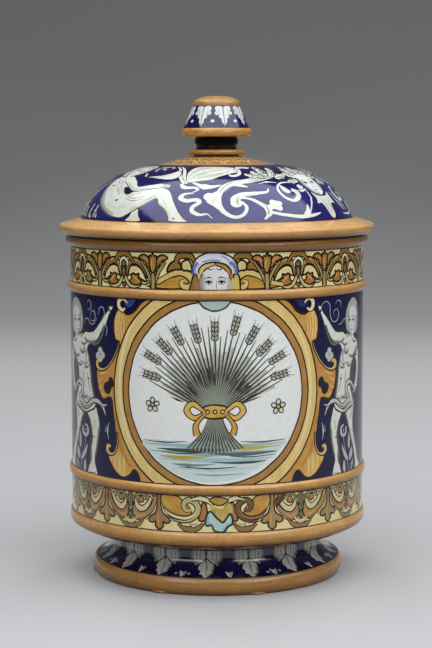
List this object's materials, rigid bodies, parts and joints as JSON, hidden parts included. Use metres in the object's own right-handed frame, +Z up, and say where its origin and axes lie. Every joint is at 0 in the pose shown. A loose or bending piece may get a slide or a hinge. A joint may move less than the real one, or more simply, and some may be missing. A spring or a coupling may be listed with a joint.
{
  "type": "lidded jar",
  "caption": "Cylindrical glazed earthenware jar on a spreading ring foot, with a domed lid that lifts off by a turned knob.",
  "frame": {"origin": "centre of the foot ring, on the surface that the jar stands on", "axes": "+Z up along the axis of the jar; -Y towards the front, where the round painted panel faces"},
  "size_m": [0.185, 0.185, 0.28],
  "materials": {
    "cobalt_glaze": "glossy dark cobalt blue tin glaze",
    "ochre_glaze": "glossy streaked ochre glaze",
    "cream_glaze": "glossy pale yellow cream glaze",
    "white_glaze": "glossy white tin glaze with grey shading"
  },
  "bodies": {
    "jar": {"jar_body": "cobalt_glaze", "foot": "cobalt_glaze"},
    "lid": {"lid_shell": "cobalt_glaze", "lid_flange": "cream_glaze", "knob": "ochre_glaze"}
  },
  "joints": [
    {"name": "lid_lift", "type": "slide", "parent": "jar", "child": "lid", "axis": [0, 0, 1], "range_m": [0, 0.12]}
  ]
}
